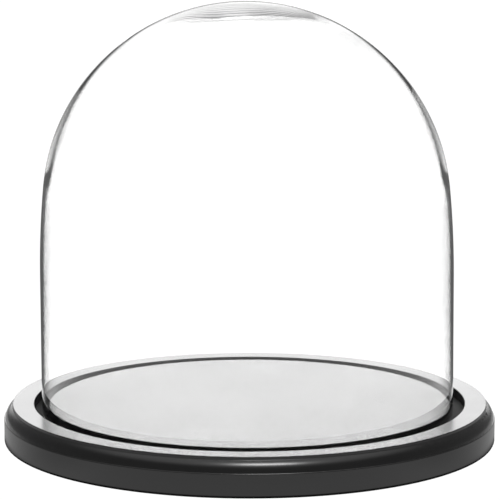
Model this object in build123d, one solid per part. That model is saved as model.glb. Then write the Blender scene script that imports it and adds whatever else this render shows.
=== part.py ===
from build123d import *
from math import cos, radians, sin, sqrt
import os

# A display dome: one blown glass bell, open below, that stands loose in the groove of a moulded wooden
# base. Millimetres, +Z up. The origin is the centre of the footprint, on the surface that the base's
# felt pads stand on. Everything is a solid of revolution about the Z axis, apart from the pads' places.

# Base: one turned piece of wood
BASE_RADIUS = 152.4  # 12 in across
BASE_THICKNESS = 24.0  # the wood alone
RIM_RADIUS = 147.0  # where the flat top ends and the edge moulding begins
MOULDING_STEP = 1.9  # height of the upright step under the rim
OVOLO_RADIUS = 8.8  # round below the step, a little less than a quarter circle
OVOLO_CENTRE_RADIUS = 142.9
BAND_TOP_DROP = 8.8  # from the flat top down to the shoulder of the plain band
GROOVE_INNER_RADIUS = 124.15  # edge of the raised plateau
GROOVE_OUTER_RADIUS = 133.8
GROOVE_DEPTH = 6.0
TOP_ARRIS = 0.4  # small rounding on the flat top's edges
STEP_CORNER = 0.5  # lacquer softens the inner corner of the step
SHOULDER_ARRIS = 0.7  # lacquer rounds it, so it catches a line of light
BOTTOM_ARRIS = 2.0

# Pads under the base
PAD_COUNT = 4
PAD_RADIUS = 11.0
PAD_THICKNESS = 1.4
PAD_CIRCLE_RADIUS = 118.0
FIRST_PAD_ANGLE = 45.0

# Glass: heights are measured from the flat top of the base
GLASS_RADIUS = 127.7  # outside, at the foot
FOOT_WALL = 1.5
STRAIGHT_WALL = 2.1  # the wall thickens to this at the end of its straight part
STRAIGHT_HEIGHT = 80.0  # the outside is upright up to here
OUTER_CROWN_RADIUS = 125.6
OUTER_CROWN_CENTRE = 123.25
INNER_CROWN_RADIUS = 121.55  # off-centre from the outer one, so the glass thins towards the top
INNER_CROWN_CENTRE = 126.3
CAP_RADIUS = 148.0  # inside, the very top is flatter than the crown around it
CAP_THICKNESS = 3.6
CAP_BLEND = 105.0  # joins the flatter cap to the crown without a crease
FOOT_EDGE = 0.7  # fire-polished edges

UNDERSIDE = PAD_THICKNESS
TOP = UNDERSIDE + BASE_THICKNESS
GROOVE_FLOOR = TOP - GROOVE_DEPTH


def round_corner(sketch, corner, radius):
    """Round the corner of a flat outline that lies nearest to a point."""
    nearest = sketch.vertices().sort_by_distance(Vector(*corner))[0]
    fillet(nearest, radius=radius)


def wooden_base():
    """Turned disc with a moulded edge and a ring groove around a raised plateau."""
    step_foot = TOP - MOULDING_STEP
    shoulder = TOP - BAND_TOP_DROP
    ovolo_centre = step_foot - sqrt(OVOLO_RADIUS**2 - (RIM_RADIUS - OVOLO_CENTRE_RADIUS) ** 2)
    ovolo_end = OVOLO_CENTRE_RADIUS + sqrt(OVOLO_RADIUS**2 - (shoulder - ovolo_centre) ** 2)
    ovolo_middle = (
        OVOLO_CENTRE_RADIUS + OVOLO_RADIUS * cos(radians(40)),
        ovolo_centre + OVOLO_RADIUS * sin(radians(40)),
    )
    with BuildPart() as base:
        with BuildSketch(Plane.XZ) as section:
            with BuildLine():
                ThreePointArc((RIM_RADIUS, step_foot), ovolo_middle, (ovolo_end, shoulder))
                Polyline(
                    (ovolo_end, shoulder),
                    (BASE_RADIUS, shoulder),
                    (BASE_RADIUS, UNDERSIDE),
                    (0, UNDERSIDE),
                    (0, TOP),
                    (GROOVE_INNER_RADIUS, TOP),
                    (GROOVE_INNER_RADIUS, GROOVE_FLOOR),
                    (GROOVE_OUTER_RADIUS, GROOVE_FLOOR),
                    (GROOVE_OUTER_RADIUS, TOP),
                    (RIM_RADIUS, TOP),
                    (RIM_RADIUS, step_foot),
                )
            make_face()
            for edge_radius in (GROOVE_INNER_RADIUS, GROOVE_OUTER_RADIUS, RIM_RADIUS):
                round_corner(section, (edge_radius, TOP), TOP_ARRIS)
            round_corner(section, (RIM_RADIUS, step_foot), STEP_CORNER)
            round_corner(section, (BASE_RADIUS, shoulder), SHOULDER_ARRIS)
            round_corner(section, (BASE_RADIUS, UNDERSIDE), BOTTOM_ARRIS)
        revolve(axis=Axis.Z)
    return base.part


def felt_pad(number):
    """One round self-adhesive pad, flat against the underside of the base."""
    angle = radians(FIRST_PAD_ANGLE + number * 360 / PAD_COUNT)
    place = (PAD_CIRCLE_RADIUS * cos(angle), PAD_CIRCLE_RADIUS * sin(angle), 0)
    return Location(place) * extrude(Circle(PAD_RADIUS), amount=PAD_THICKNESS)


def shoulder_arc(wall_radius, crown_radius, crown_centre):
    """Middle and end of the large arc that runs from the upright wall into the crown's arc.

    It starts upright at the top of the straight wall, and meets the crown's arc on the line through
    both centres, so the wall has no crease.
    """
    rise = crown_centre - STRAIGHT_HEIGHT
    radius = (wall_radius**2 + rise**2 - crown_radius**2) / (2 * (wall_radius - crown_radius))
    run = radius - crown_radius
    lean = (rise / run, (radius - wall_radius) / run)  # sine and cosine of the turn
    half_lean = (sqrt((1 - lean[1]) / 2), sqrt((1 + lean[1]) / 2))
    centre = (wall_radius - radius, TOP + STRAIGHT_HEIGHT)
    middle = (centre[0] + radius * half_lean[1], centre[1] + radius * half_lean[0])
    end = (centre[0] + radius * lean[1], centre[1] + radius * lean[0])
    return middle, end


def crown_point(crown_radius, crown_centre, across):
    """Point on a crown's arc at a distance from the axis."""
    return (across, TOP + crown_centre + sqrt(crown_radius**2 - across**2))


def cap_blend():
    """Centre of the arc that joins the crown to the cap inside, and the height of the cap's centre."""
    cap_centre = OUTER_CROWN_CENTRE + OUTER_CROWN_RADIUS - CAP_THICKNESS - CAP_RADIUS
    to_cap = CAP_RADIUS - CAP_BLEND
    to_crown = INNER_CROWN_RADIUS - CAP_BLEND
    height = (to_cap**2 - to_crown**2 - cap_centre**2 + INNER_CROWN_CENTRE**2) / (
        2 * (INNER_CROWN_CENTRE - cap_centre)
    )
    across = sqrt(to_cap**2 - (height - cap_centre) ** 2)
    return (across, height), cap_centre


def inner_crown(start):
    """Points along the inside of the crown, from its lower end up to the axis: three arcs, end to end."""
    (across, height), cap_centre = cap_blend()
    crown_end = across * INNER_CROWN_RADIUS / (INNER_CROWN_RADIUS - CAP_BLEND)
    cap_start = across * CAP_RADIUS / (CAP_RADIUS - CAP_BLEND)
    blend_middle = (crown_end + cap_start) / 2
    blend_rise = sqrt(CAP_BLEND**2 - (blend_middle - across) ** 2)
    return [
        crown_point(INNER_CROWN_RADIUS, INNER_CROWN_CENTRE, (start + crown_end) / 2),
        crown_point(INNER_CROWN_RADIUS, INNER_CROWN_CENTRE, crown_end),
        (blend_middle, TOP + height + blend_rise),
        crown_point(CAP_RADIUS, cap_centre, cap_start),
        crown_point(CAP_RADIUS, cap_centre, cap_start / 2),
        crown_point(CAP_RADIUS, cap_centre, 0),
    ]


def glass_dome():
    """Blown bell, open below, with a little more glass at the very top than around it."""
    foot_radius = GLASS_RADIUS - FOOT_WALL
    inner_radius = GLASS_RADIUS - STRAIGHT_WALL
    wall_top = TOP + STRAIGHT_HEIGHT
    outer_middle, outer_end = shoulder_arc(GLASS_RADIUS, OUTER_CROWN_RADIUS, OUTER_CROWN_CENTRE)
    inner_middle, inner_end = shoulder_arc(inner_radius, INNER_CROWN_RADIUS, INNER_CROWN_CENTRE)
    outer_bend = crown_point(OUTER_CROWN_RADIUS, OUTER_CROWN_CENTRE, outer_end[0] * sin(radians(45)))
    outer_apex = crown_point(OUTER_CROWN_RADIUS, OUTER_CROWN_CENTRE, 0)
    crown_bend, crown_end, blend_bend, cap_start, cap_bend, cap_apex = inner_crown(inner_end[0])
    with BuildPart() as dome:
        with BuildSketch(Plane.XZ) as section:
            with BuildLine():
                Line((GLASS_RADIUS, GROOVE_FLOOR), (GLASS_RADIUS, wall_top))
                ThreePointArc((GLASS_RADIUS, wall_top), outer_middle, outer_end)
                ThreePointArc(outer_end, outer_bend, outer_apex)
                Line(outer_apex, cap_apex)
                ThreePointArc(cap_apex, cap_bend, cap_start)
                ThreePointArc(cap_start, blend_bend, crown_end)
                ThreePointArc(crown_end, crown_bend, inner_end)
                ThreePointArc(inner_end, inner_middle, (inner_radius, wall_top))
                Polyline(
                    (inner_radius, wall_top),
                    (foot_radius, GROOVE_FLOOR),
                    (GLASS_RADIUS, GROOVE_FLOOR),
                )
            make_face()
            for edge_radius in (foot_radius, GLASS_RADIUS):
                round_corner(section, (edge_radius, GROOVE_FLOOR), FOOT_EDGE)
        revolve(axis=Axis.Z)
    return dome.part


os.makedirs("parts", exist_ok=True)
export_step(wooden_base(), "parts/wooden_base.step")
export_step(glass_dome(), "parts/glass_dome.step")
for pad in range(PAD_COUNT):
    export_step(felt_pad(pad), f"parts/felt_pad_{pad + 1}.step")
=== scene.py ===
from math import atan2, cos, hypot, pi, radians, sin, sqrt

import bpy
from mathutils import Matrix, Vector, noise


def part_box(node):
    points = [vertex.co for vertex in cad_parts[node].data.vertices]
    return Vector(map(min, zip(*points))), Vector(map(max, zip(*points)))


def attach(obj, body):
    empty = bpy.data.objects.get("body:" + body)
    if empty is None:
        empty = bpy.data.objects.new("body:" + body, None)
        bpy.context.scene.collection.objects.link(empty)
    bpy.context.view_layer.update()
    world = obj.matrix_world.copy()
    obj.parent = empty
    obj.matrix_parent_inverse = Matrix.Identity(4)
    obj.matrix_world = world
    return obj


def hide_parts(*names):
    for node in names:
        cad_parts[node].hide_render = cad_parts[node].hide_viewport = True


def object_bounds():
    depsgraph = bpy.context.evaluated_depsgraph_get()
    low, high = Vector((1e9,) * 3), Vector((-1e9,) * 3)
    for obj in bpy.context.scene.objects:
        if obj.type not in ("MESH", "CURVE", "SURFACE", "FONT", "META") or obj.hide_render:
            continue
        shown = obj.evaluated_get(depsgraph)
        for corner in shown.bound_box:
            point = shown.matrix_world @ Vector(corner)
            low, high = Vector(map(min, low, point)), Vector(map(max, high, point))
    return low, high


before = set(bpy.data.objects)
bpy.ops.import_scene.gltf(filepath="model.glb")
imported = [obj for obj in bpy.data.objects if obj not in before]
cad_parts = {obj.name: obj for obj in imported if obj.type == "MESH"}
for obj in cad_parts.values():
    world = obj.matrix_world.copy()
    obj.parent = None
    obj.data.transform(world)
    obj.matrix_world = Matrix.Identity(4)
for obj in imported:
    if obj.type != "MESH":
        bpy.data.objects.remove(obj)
cad_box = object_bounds()
scene = bpy.context.scene

# The object, read from the frame. Metres, +Z up, the front towards -Y.
base_low, base_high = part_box("wooden_base")
glass_low, glass_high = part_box("glass_dome")
base_top = base_high.z
base_radius = base_high.x

# Glass: heights are above the flat top of the base
GLASS_RADIUS = glass_high.x
FOOT = glass_low.z - base_top
APEX = glass_high.z - base_top
FOOT_WALL = 0.0015
STRAIGHT_WALL = 0.0021  # the wall thickens to this at the end of its straight part
FOOT_EDGE = 0.0007
STRAIGHT_HEIGHT = 0.080  # the outside is upright up to here
OUTER_CROWN_RADIUS = 0.1256
INNER_CROWN_RADIUS = 0.12155
INNER_CROWN_CENTRE = 0.1263
CAP_RADIUS = 0.148  # inside, the very top is flatter than the crown around it
CAP_THICKNESS = 0.0036
CAP_BLEND = 0.105  # joins the flatter cap to the crown without a crease
GLASS_SIDES = 288
FOOT_STEPS = 8
WALL_STEPS = 12
SHOULDER_STEPS = 60
OUTER_CROWN_STEPS = 120
INNER_CROWN_STEPS = 70
CAP_STEPS = 60
IOR = 1.5  # of the glass, and of the lacquer

# How the bell differs from a true one
SKIN = 0.0006  # points further in than this belong to the inside
STREAK = 0.000025  # how far blowing left the inside of the crown from a true surface
STREAK_RISE = 0.06  # height over which the streaks reach that depth
STREAK_SCALE = 28, 75  # along X and along Y, per metre
STREAK_SEED = 3.7
UNEVEN = 0.008  # slope that makes the crown's glass thicker towards -X
UNEVEN_RADIUS = 0.11  # distance from the axis at which the slope has died out
UNEVEN_FADE = 0.08
CROOKED = 0.0045  # the bell leans this much towards -X as it rises
SET_DOWN = -0.0012  # it stands loose in its groove, a little towards -X

# Base: the edges of its flat top
RIM_RADIUS = 0.9646 * base_radius
GROOVE = (0.8146 * base_radius, 0.8780 * base_radius)
SHOULDER_DROP = 0.0088  # from the flat top down to the band

# Lacquer: pairs of colours or of numbers are mixed by noise
LACQUER_TONES = (0.0030, 0.0030, 0.0032, 1), (0.0052, 0.0051, 0.0050, 1)
GROOVE_TONES = (0.007, 0.007, 0.007, 1), (0.013, 0.013, 0.013, 1)
UNDERSIDE_TONES = (0.006, 0.006, 0.006, 1), (0.016, 0.015, 0.014, 1)
RUBBED_TONE = (0.022, 0.017, 0.013, 1)
DUST_TONE = (0.20, 0.20, 0.20, 1)
RUBBED_SHARE = 0.5
DUST_SHARE = 0.10
LACQUER_ROUGHNESS = 0.225, 0.262  # marks appear in the picture if these lie on either side of 0.274
RUBBED_ROUGHNESS = 0.10  # this and the next two are added to it
GROOVE_ROUGHNESS = 0.5
UNDERSIDE_ROUGHNESS = 0.35
RING_SPACING = 0.0011  # left by turning
RIM_WEAR = 0.0007  # how far wear reaches from each edge
GROOVE_WEAR = 0.0006
SHOULDER_WEAR = 0.0006
SHOULDER_WEAR_DEPTH = 0.0004

# Felt
PAD_SIDES = 72
PAD_STEPS = 12  # round the bulging side
PAD_FUZZ = 0.00007
PAD_CLEARANCE = 1e-5  # the fuzz stays this far above the floor
PAD_FUZZ_SCALE = 1500  # per metre
FIBRE_TONES = (0.006, 0.006, 0.007, 1), (0.040, 0.038, 0.037, 1)
MATTED_TONE = (0.010, 0.010, 0.011, 1)
MATTED_SHARE = 0.4
MATTED_SCALE = 420.0
FIBRE_SCALE = 4200.0
FIBRE_STRETCH = 0.25
FIBRE_TURN = 0.7  # turns one of the two directions of fibre, in radians

# Camera: a long lens a little above the base, looking slightly down
CAMERA_DISTANCE = 2.0996  # level distance from the axis
CAMERA_RISE = 0.4821  # above the flat top of the base
CAMERA_TILT = 10.4443  # degrees below level
CAMERA_LENS = 248.99
CAMERA_SHIFT = 0.00106

# Studio light: what each kind of look at the floor or the world gives, 1 being white
FLOOR_SIZE = 60.0
WHITE = 1.05  # seen directly
THROUGH = 1.25  # seen through the glass
THROUGH_SIDES = 6.0
THROUGH_SKY = 1.92
NEAR_FLOOR = 1.0  # mirrored in the lacquer
NEAR_SIDES = 0.6
DARK_FLOOR = 0.2
# painted contact shadow: in the lacquer's mirror image the floor right round the base is nearly black
CONTACT_SHADOW = 0.02
BACKDROP = 2.88
CEILING = 1.12
SIDES = 0.2
EDGE_SKY = 1.5  # mirrored in the glass, or seen along its thickness
EDGE_FRONT = 1.0
EDGE_DARK = 0.105
EDGE_OVERHEAD = 1.2  # the same, in the world
EDGE_HORIZON = 0.084

# Where those change, from and to. On the floor these are metres from the axis, or shares of that distance.
CONTACT_SHADOW_ENDS = base_radius + 0.003, base_radius + 0.008
NEAR_FLOOR_ENDS = 0.22, 0.40
NEAR_SIDES_START = 0.70, 0.95
THROUGH_HALF_WIDTH = 0.105
THROUGH_SIDES_START = 0.02, 0.45
BEHIND_STARTS = 0.30, 0.60
EDGE_FRONT_ENDS = 0.45, 0.65
EDGE_SKY_ENDS = 0.06, 0.25
# In the world they are parts of the direction looked in.
CARD_BACK = 0.1, 0.4
CARD_SIDES = 0.10, 0.45
CARD_TOP = 0.40, 0.65
CEILING_STARTS = 0.65, 0.92
EDGE_OVERHEAD_STARTS = 0.05, 0.165

FLOOR_GAP = 0.0001  # between the floor and the pads
SOFTBOX_SIZE = 0.5, 0.35
SOFTBOX_POWER = 14
SOFTBOX_PLACE = Vector((0.155, -0.73, 1.53))
SOFTBOX_AIM = Vector((0, 0, 0.1))
BOUNCES = 48  # the light runs a long way inside the glass


# Nodes


def link(tree, output, socket):
    tree.links.new(output, socket)


def put(tree, value, socket):
    """A plain value or another node's output, into a socket."""
    if isinstance(value, bpy.types.NodeSocket):
        link(tree, value, socket)
    else:
        socket.default_value = value


def maths(tree, operation, a, b=0.0):
    """A Math node on sockets or plain numbers; gives its output."""
    node = tree.nodes.new("ShaderNodeMath")
    node.operation = operation
    put(tree, a, node.inputs[0])
    put(tree, b, node.inputs[1])
    return node.outputs[0]


def ramp(tree, value, low, high, at_low, at_high):
    """A smooth change from one value to another as the input goes from low to high."""
    node = tree.nodes.new("ShaderNodeMapRange")
    node.interpolation_type = "SMOOTHSTEP"
    put(tree, value, node.inputs["Value"])
    for name, number in zip(("From Min", "From Max", "To Min", "To Max"), (low, high, at_low, at_high)):
        put(tree, number, node.inputs[name])
    return node.outputs[0]


def choose(tree, factor, a, b):
    """a where the factor is 0, b where it is 1."""
    node = tree.nodes.new("ShaderNodeMix")
    node.data_type = "FLOAT"
    put(tree, factor, node.inputs[0])
    put(tree, a, node.inputs[2])
    put(tree, b, node.inputs[3])
    return node.outputs[0]


def blend_colours(tree, factor, a, b):
    """Colour a where the factor is 0, b where it is 1."""
    node = tree.nodes.new("ShaderNodeMix")
    node.data_type = "RGBA"
    put(tree, factor, node.inputs[0])
    put(tree, a, node.inputs[6])
    put(tree, b, node.inputs[7])
    return node.outputs[2]


def speckle(tree, place, scale, detail=2.0, roughness=0.5):
    """Noise from 0 to 1, with features about 1 / scale metres across."""
    node = tree.nodes.new("ShaderNodeTexNoise")
    node.inputs["Scale"].default_value = scale
    node.inputs["Detail"].default_value = detail
    node.inputs["Roughness"].default_value = roughness
    link(tree, place, node.inputs["Vector"])
    return node.outputs["Fac"]


def bump(tree, height, strength, distance, under=None):
    """A Bump node, on top of another one's normal if that is given."""
    node = tree.nodes.new("ShaderNodeBump")
    node.inputs["Strength"].default_value = strength
    node.inputs["Distance"].default_value = distance
    link(tree, height, node.inputs["Height"])
    if under is not None:
        link(tree, under, node.inputs["Normal"])
    return node.outputs[0]


def new_material(name):
    """A material with a Principled shader, and the object's own coordinates in metres."""
    material = bpy.data.materials.new(name)
    material.use_nodes = True
    tree = material.node_tree
    shader = tree.nodes["Principled BSDF"]
    place = tree.nodes.new("ShaderNodeTexCoord").outputs["Object"]
    return material, tree, shader, place


# Materials


def near(tree, value, centre, width):
    """1 at the centre, falling to 0 a width away."""
    distance = maths(tree, "ABSOLUTE", maths(tree, "SUBTRACT", value, centre))
    return ramp(tree, distance, 0.0, width, 1.0, 0.0)


def lacquer():
    """Satin black lacquer, sprayed on turned wood.

    It has fine orange peel, faint turning rings, rubbed edges and some dust, and is matt in the groove.
    """
    material, tree, shader, place = new_material("satin_black_lacquer")
    split = tree.nodes.new("ShaderNodeSeparateXYZ")
    link(tree, place, split.inputs[0])
    squares = [maths(tree, "POWER", split.outputs[axis], 2.0) for axis in "XY"]
    across = maths(tree, "SQRT", maths(tree, "ADD", *squares))
    height = split.outputs["Z"]
    cloudy = speckle(tree, place, 22.0, 3.0)
    grainy = speckle(tree, place, 1400.0, 2.0)
    peel = speckle(tree, place, 420.0, 2.0, 0.4)
    dust = ramp(tree, speckle(tree, place, 2600.0, 1.0), 0.70, 0.78, 0.0, 1.0)
    rubbed = ramp(tree, speckle(tree, place, 160.0, 4.0, 0.7), 0.48, 0.66, 0.0, 1.0)
    low = ramp(tree, height, base_low.z + 0.0003, base_low.z + 0.0012, 1.0, 0.0)
    facing_up = ramp(tree, height, base_top - 0.0004, base_top - 0.0001, 0.0, 1.0)
    edges = near(tree, across, RIM_RADIUS, RIM_WEAR)
    for edge in GROOVE:
        edges = maths(tree, "MAXIMUM", edges, near(tree, across, edge, GROOVE_WEAR))
    shoulder = near(tree, height, base_top - SHOULDER_DROP, SHOULDER_WEAR)
    shoulder_side = near(tree, across, base_radius, SHOULDER_WEAR_DEPTH)
    shoulder = maths(tree, "MULTIPLY", shoulder, shoulder_side)
    edges = maths(tree, "MAXIMUM", maths(tree, "MULTIPLY", edges, facing_up), shoulder)
    worn = maths(tree, "MULTIPLY", edges, rubbed)
    within = ramp(tree, across, GROOVE[1] + 0.0004, GROOVE[1] + 0.0008, 1.0, 0.0)
    sunk = ramp(tree, height, base_top - 0.0009, base_top - 0.0004, 1.0, 0.0)
    in_groove = maths(tree, "MULTIPLY", within, sunk)

    colour = blend_colours(tree, cloudy, *LACQUER_TONES)
    colour = blend_colours(tree, maths(tree, "MULTIPLY", worn, RUBBED_SHARE), colour, RUBBED_TONE)
    dusty = maths(tree, "MULTIPLY", maths(tree, "MULTIPLY", dust, facing_up), DUST_SHARE)
    colour = blend_colours(tree, dusty, colour, DUST_TONE)
    colour = blend_colours(tree, in_groove, colour, blend_colours(tree, grainy, *GROOVE_TONES))
    colour = blend_colours(tree, low, colour, blend_colours(tree, grainy, *UNDERSIDE_TONES))
    link(tree, colour, shader.inputs["Base Color"])

    rough = ramp(tree, cloudy, 0.2, 0.8, *LACQUER_ROUGHNESS)
    rougher = (worn, RUBBED_ROUGHNESS), (in_groove, GROOVE_ROUGHNESS), (low, UNDERSIDE_ROUGHNESS)
    for mask, more in rougher:
        rough = maths(tree, "ADD", rough, maths(tree, "MULTIPLY", mask, more))
    link(tree, rough, shader.inputs["Roughness"])
    shader.inputs["IOR"].default_value = IOR

    rings = maths(tree, "SINE", maths(tree, "MULTIPLY", across, 2 * pi / RING_SPACING))
    surface = bump(tree, rings, 0.05, 0.000004)
    surface = bump(tree, peel, 0.10, 0.00006, surface)
    surface = bump(tree, grainy, 0.10, 0.00002, surface)
    link(tree, surface, shader.inputs["Normal"])
    return material


def glass():
    """Clear blown glass, a little wavy."""
    material, tree, shader, place = new_material("clear_blown_glass")
    shader.inputs["Base Color"].default_value = (1, 1, 1, 1)
    shader.inputs["Roughness"].default_value = 0.0
    shader.inputs["IOR"].default_value = IOR
    shader.inputs["Transmission Weight"].default_value = 1.0
    waves = speckle(tree, place, 18.0, 1.0)
    link(tree, bump(tree, waves, 0.10, 0.0001), shader.inputs["Normal"])
    return material


def felt():
    """Black pressed felt: tangled fibres, uneven colour, a soft sheen."""
    material, tree, shader, place = new_material("black_felt_fibres")
    stretch = tree.nodes.new("ShaderNodeMapping")
    stretch.inputs["Scale"].default_value = (1.0, FIBRE_STRETCH, 1.0)
    stretch.inputs["Rotation"].default_value = (0.0, 0.0, FIBRE_TURN)
    link(tree, place, stretch.inputs["Vector"])
    crossed = tree.nodes.new("ShaderNodeMapping")
    crossed.inputs["Scale"].default_value = (FIBRE_STRETCH, 1.0, 1.0)
    link(tree, place, crossed.inputs["Vector"])
    fibres = maths(
        tree,
        "MAXIMUM",
        speckle(tree, stretch.outputs[0], FIBRE_SCALE, 3.0, 0.6),
        speckle(tree, crossed.outputs[0], FIBRE_SCALE, 3.0, 0.6),
    )
    matted = speckle(tree, place, MATTED_SCALE, 3.0)
    colour = blend_colours(tree, fibres, *FIBRE_TONES)
    colour = blend_colours(tree, maths(tree, "MULTIPLY", matted, MATTED_SHARE), colour, MATTED_TONE)
    link(tree, colour, shader.inputs["Base Color"])
    link(tree, ramp(tree, matted, 0.3, 0.7, 0.88, 1.0), shader.inputs["Roughness"])
    shader.inputs["Sheen Weight"].default_value = 0.12
    shader.inputs["Sheen Roughness"].default_value = 0.6
    shader.inputs["Specular IOR Level"].default_value = 0.2
    surface = bump(tree, matted, 0.5, 0.0002)
    link(tree, bump(tree, fibres, 0.9, 0.00012, surface), shader.inputs["Normal"])
    return material


# Meshes


def mesh_object(name, points, faces, material):
    mesh = bpy.data.meshes.new(name)
    mesh.from_pydata(points, [], faces)
    mesh.polygons.foreach_set("use_smooth", [True] * len(mesh.polygons))
    mesh.update()
    mesh.materials.append(material)
    made = bpy.data.objects.new(name, mesh)
    scene.collection.objects.link(made)
    return made


def lathe(outline, sides, shape=None, centre=(0.0, 0.0)):
    """Points and faces of a closed outline of (distance, height), turned about an upright axis.

    shape moves each point a little, so that the turned form isn't perfectly true.
    """
    points, rings, faces = [], [], []
    for across, height in outline:
        count = sides if across > 1e-7 else 1
        rings.append(range(len(points), len(points) + count))
        for step in range(count):
            turn = 2 * pi * step / sides
            spot = Vector((across * cos(turn), across * sin(turn), height))
            if shape:
                spot = shape(spot)
            points.append((spot.x + centre[0], spot.y + centre[1], spot.z))
    for lower, upper in zip(rings, [*rings[1:], rings[0]]):
        if len(lower) == len(upper) == 1:
            continue
        for step in range(sides):
            ahead = (step + 1) % sides
            if len(lower) == 1:
                faces.append((lower[0], upper[ahead], upper[step]))
            elif len(upper) == 1:
                faces.append((lower[step], lower[ahead], upper[0]))
            else:
                faces.append((lower[step], lower[ahead], upper[ahead], upper[step]))
    return points, faces


def arc(centre, radius, start, end, steps):
    """Points of an arc in the (distance, height) plane, its first point left out. Angles from level."""
    turns = [start + (end - start) * step / steps for step in range(1, steps + 1)]
    return [(centre[0] + radius * cos(turn), centre[1] + radius * sin(turn)) for turn in turns]


def wall(foot_radius, radius, foot_centre, foot_end, crown_radius, crown_centre):
    """One face of the glass, from its rounded foot up to the crown, and the angle where the crown starts."""
    low = FOOT + FOOT_EDGE
    points = arc((foot_centre, low), FOOT_EDGE, -pi / 2, foot_end, FOOT_STEPS)
    for step in range(1, WALL_STEPS + 1):
        share = step / WALL_STEPS
        across = foot_radius + (radius - foot_radius) * share
        points.append((across, low + (STRAIGHT_HEIGHT - low) * share))
    rise = crown_centre - STRAIGHT_HEIGHT
    bend = (radius**2 + rise**2 - crown_radius**2) / (2 * (radius - crown_radius))
    lean = atan2(rise, bend - radius)
    return points + arc((radius - bend, STRAIGHT_HEIGHT), bend, 0, lean, SHOULDER_STEPS), lean


def glass_outline():
    """The dome's section: up the outside to the top, then down the inside to the foot."""
    outer_centre = APEX - OUTER_CROWN_RADIUS
    outside, lean = wall(
        GLASS_RADIUS, GLASS_RADIUS, GLASS_RADIUS - FOOT_EDGE, 0, OUTER_CROWN_RADIUS, outer_centre
    )
    outside += arc((0, outer_centre), OUTER_CROWN_RADIUS, lean, pi / 2, OUTER_CROWN_STEPS)
    outside[-1] = (0.0, outside[-1][1])

    inner_foot = GLASS_RADIUS - FOOT_WALL
    inner_radius = GLASS_RADIUS - STRAIGHT_WALL
    inside, lean = wall(
        inner_foot, inner_radius, inner_foot + FOOT_EDGE, -pi, INNER_CROWN_RADIUS, INNER_CROWN_CENTRE
    )
    cap_centre = APEX - CAP_THICKNESS - CAP_RADIUS
    to_cap = CAP_RADIUS - CAP_BLEND
    to_crown = INNER_CROWN_RADIUS - CAP_BLEND
    height = (to_cap**2 - to_crown**2 - cap_centre**2 + INNER_CROWN_CENTRE**2) / (
        2 * (INNER_CROWN_CENTRE - cap_centre)
    )
    across = sqrt(to_cap**2 - (height - cap_centre) ** 2)
    crown_end = atan2(height - INNER_CROWN_CENTRE, across)
    cap_start = atan2(height - cap_centre, across)
    inside += arc((0, INNER_CROWN_CENTRE), INNER_CROWN_RADIUS, lean, crown_end, INNER_CROWN_STEPS)
    inside += arc((across, height), CAP_BLEND, crown_end, cap_start, CAP_STEPS)
    inside += arc((0, cap_centre), CAP_RADIUS, cap_start, pi / 2, CAP_STEPS)
    inside[-1] = (0.0, inside[-1][1])
    outline = [(GLASS_RADIUS - FOOT_EDGE, FOOT), *outside, *inside[::-1], (inner_foot + FOOT_EDGE, FOOT)]
    return [(distance, base_top + level) for distance, level in outline]


def blown(spot):
    """Moves a point of a true bell to where blowing left it, and to where the bell was set down."""
    level = spot.z - base_top
    depth = OUTER_CROWN_RADIUS - hypot(spot.x, spot.y, level - APEX + OUTER_CROWN_RADIUS)
    rise = 0.0
    if depth > SKIN and level > INNER_CROWN_CENTRE:
        wave = noise.noise(Vector((spot.x * STREAK_SCALE[0], spot.y * STREAK_SCALE[1], STREAK_SEED)))
        rise += STREAK * min(1.0, (level - INNER_CROWN_CENTRE) / STREAK_RISE) * wave
        fade = min(1.0, max(0.0, (UNEVEN_RADIUS - hypot(spot.x, spot.y)) / UNEVEN_FADE))
        rise += UNEVEN * spot.x * fade * fade * (3 - 2 * fade)
    return spot + Vector((SET_DOWN - CROOKED * max(0.0, level), 0, rise))


def make_glass():
    dome = mesh_object("dome_glass", *lathe(glass_outline(), GLASS_SIDES, blown), glass())
    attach(dome, "dome")
    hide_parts("glass_dome")


def felt_outline(radius, thickness):
    """A pressed disc: flat where it is glued on, with a soft bulging side and a slightly dished underside."""
    points = [(0.0, thickness)]
    points += [(radius * share, thickness) for share in (0.15, 0.3, 0.45, 0.6, 0.75, 0.87, 0.95)]
    edge = thickness * 0.42
    half = thickness / 2
    for step in range(PAD_STEPS + 1):
        turn = pi / 2 - pi * step / PAD_STEPS
        across = radius - edge * 0.55 + edge * 0.5 * cos(turn)
        points.append((across, half + (half - PAD_CLEARANCE) * sin(turn)))
    points += [(radius * share, 0.00008) for share in (0.9, 0.8, 0.7, 0.6, 0.5, 0.4, 0.3, 0.2, 0.1)]
    return [*points, (0.0, 0.0001)]


def make_pad(node, material):
    low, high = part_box(node)
    middle = (low + high) / 2
    radius = (high.x - low.x) / 2
    thickness = high.z - low.z

    def fuzz(spot):
        """Lets the side and the underside go uneven, and keeps the glued face flat."""
        if spot.z > thickness * 0.98:
            return spot
        where = Vector((spot.x + middle.x, spot.y + middle.y, spot.z)) * PAD_FUZZ_SCALE
        rough = noise.noise(where) * PAD_FUZZ
        out = Vector((spot.x, spot.y, 0)).normalized() if hypot(spot.x, spot.y) > radius * 0.9 else Vector()
        lifted = max(low.z + PAD_CLEARANCE, spot.z + abs(rough) * 0.6)
        return Vector((spot.x + out.x * rough, spot.y + out.y * rough, min(lifted, thickness)))

    shape = lathe(felt_outline(radius - PAD_FUZZ, thickness), PAD_SIDES, fuzz, (middle.x, middle.y))
    pad = mesh_object(f"{node}_felt", *shape, material)
    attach(pad, "base")
    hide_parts(node)


# Stage


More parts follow.
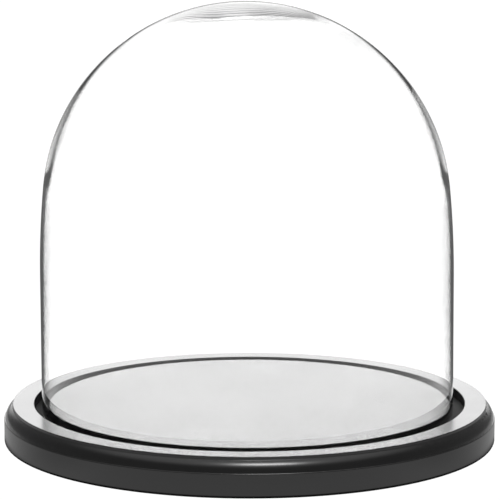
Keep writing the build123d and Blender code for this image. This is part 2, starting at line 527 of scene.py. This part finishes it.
def by_path(tree, direct, through, mirrored, edge):
    """What the studio gives to each kind of look at it.

    These are a direct look, a look through the glass, the lacquer's mirror image, and light that runs
    along the glass or glances off it.
    """
    path = tree.nodes.new("ShaderNodeLightPath")
    crossed = maths(tree, "GREATER_THAN", path.outputs["Transmission Depth"], 0.5)
    bounced = maths(tree, "GREATER_THAN", path.outputs["Glossy Depth"], 0.5)
    shallow = maths(tree, "LESS_THAN", path.outputs["Transmission Depth"], 2.5)
    in_glass = maths(tree, "MULTIPLY", shallow, path.outputs["Is Singular Ray"])
    return choose(
        tree,
        bounced,
        choose(tree, crossed, direct, through),
        choose(tree, in_glass, mirrored, edge),
    )


def make_floor():
    half = FLOOR_SIZE / 2
    corners = [(-half, -half, 0), (half, -half, 0), (half, half, 0), (-half, half, 0)]
    material = bpy.data.materials.new("studio_floor")
    material.use_nodes = True
    material.cycles.emission_sampling = "NONE"
    tree = material.node_tree
    tree.nodes.clear()
    out = tree.nodes.new("ShaderNodeOutputMaterial")
    shader = tree.nodes.new("ShaderNodeEmission")
    place = tree.nodes.new("ShaderNodeNewGeometry").outputs["Position"]
    length = tree.nodes.new("ShaderNodeVectorMath")
    length.operation = "LENGTH"
    link(tree, place, length.inputs[0])
    away = length.outputs["Value"]
    split = tree.nodes.new("ShaderNodeSeparateXYZ")
    link(tree, place, split.inputs[0])
    beside = maths(tree, "ABSOLUTE", split.outputs["X"])
    aside = maths(tree, "DIVIDE", beside, away)
    pool = ramp(tree, aside, *NEAR_SIDES_START, NEAR_FLOOR, NEAR_SIDES)
    # painted contact shadow on the floor round the base, seen only in the lacquer's mirror image
    pool = choose(tree, ramp(tree, away, *CONTACT_SHADOW_ENDS, 0.0, 1.0), CONTACT_SHADOW, pool)
    mirrored = choose(tree, ramp(tree, away, *NEAR_FLOOR_ENDS, 0.0, 1.0), pool, DARK_FLOOR)
    spread = maths(tree, "DIVIDE", maths(tree, "SUBTRACT", beside, THROUGH_HALF_WIDTH), away)
    through = ramp(tree, spread, *THROUGH_SIDES_START, THROUGH, THROUGH_SIDES)
    behind = ramp(tree, maths(tree, "DIVIDE", split.outputs["Y"], away), *BEHIND_STARTS, 0.0, 1.0)
    ahead = ramp(tree, away, *EDGE_FRONT_ENDS, EDGE_FRONT, EDGE_DARK)
    edge = choose(tree, behind, ahead, ramp(tree, aside, *EDGE_SKY_ENDS, EDGE_SKY, EDGE_DARK))
    link(tree, by_path(tree, WHITE, through, mirrored, edge), shader.inputs["Strength"])
    # clear from below, so that the underside can be looked at
    one_sided = tree.nodes.new("ShaderNodeMixShader")
    link(tree, tree.nodes.new("ShaderNodeNewGeometry").outputs["Backfacing"], one_sided.inputs[0])
    link(tree, shader.outputs[0], one_sided.inputs[1])
    see_through = tree.nodes.new("ShaderNodeBsdfTransparent")
    see_through.inputs["Color"].default_value = (1, 1, 1, 1)
    link(tree, see_through.outputs[0], one_sided.inputs[2])
    link(tree, one_sided.outputs[0], out.inputs[0])
    floor = mesh_object("floor", corners, [(0, 1, 2, 3)], material)
    floor.location.z = cad_box[0][2] - FLOOR_GAP


def make_world():
    world = bpy.data.worlds.new("studio")
    scene.world = world
    world.use_nodes = True
    world.cycles.sampling_method = "NONE"
    tree = world.node_tree
    tree.nodes.clear()
    out = tree.nodes.new("ShaderNodeOutputWorld")
    background = tree.nodes.new("ShaderNodeBackground")
    background.inputs["Color"].default_value = (1, 1, 1, 1)
    split = tree.nodes.new("ShaderNodeSeparateXYZ")
    # a world's Geometry Position is the direction looked in
    link(tree, tree.nodes.new("ShaderNodeNewGeometry").outputs["Position"], split.inputs[0])
    up = split.outputs["Z"]
    aside = maths(tree, "ABSOLUTE", split.outputs["X"])
    card = maths(tree, "MULTIPLY", ramp(tree, split.outputs["Y"], *CARD_BACK, 0.0, 1.0), BACKDROP)
    card = maths(tree, "MULTIPLY", card, ramp(tree, aside, *CARD_SIDES, 1.0, 0.0))
    card = maths(tree, "MULTIPLY", card, ramp(tree, up, *CARD_TOP, 1.0, 0.0))
    mirrored = maths(tree, "ADD", card, ramp(tree, up, *CEILING_STARTS, SIDES, CEILING))
    edge = ramp(tree, up, *EDGE_OVERHEAD_STARTS, EDGE_HORIZON, EDGE_OVERHEAD)
    link(tree, by_path(tree, WHITE, THROUGH_SKY, mirrored, edge), background.inputs["Strength"])
    link(tree, background.outputs[0], out.inputs[0])


def make_softbox():
    data = bpy.data.lights.new("softbox", "AREA")
    data.shape = "RECTANGLE"
    data.size, data.size_y = SOFTBOX_SIZE
    data.energy = SOFTBOX_POWER
    softbox = bpy.data.objects.new("softbox", data)
    softbox.location = SOFTBOX_PLACE
    aim = SOFTBOX_AIM - SOFTBOX_PLACE
    softbox.rotation_euler = aim.to_track_quat("-Z", "Y").to_euler()
    scene.collection.objects.link(softbox)


def make_camera():
    data = bpy.data.cameras.new("camera")
    data.lens = CAMERA_LENS
    data.sensor_width = 36.0
    data.shift_x = CAMERA_SHIFT
    data.clip_end = 100.0
    camera = bpy.data.objects.new("camera", data)
    camera.location = (0, -CAMERA_DISTANCE, base_top + CAMERA_RISE)
    camera.rotation_euler = (radians(90 - CAMERA_TILT), 0, 0)
    scene.collection.objects.link(camera)
    scene.camera = camera


make_camera()
make_floor()
make_world()
make_softbox()
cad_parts["wooden_base"].material_slots[0].material = lacquer()
make_glass()
felt_material = felt()
for pad_node in sorted(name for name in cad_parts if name.startswith("felt_pad")):
    make_pad(pad_node, felt_material)
scene.view_settings.view_transform = "Standard"
scene.cycles.max_bounces = BOUNCES
scene.cycles.glossy_bounces = BOUNCES
scene.cycles.transmission_bounces = BOUNCES
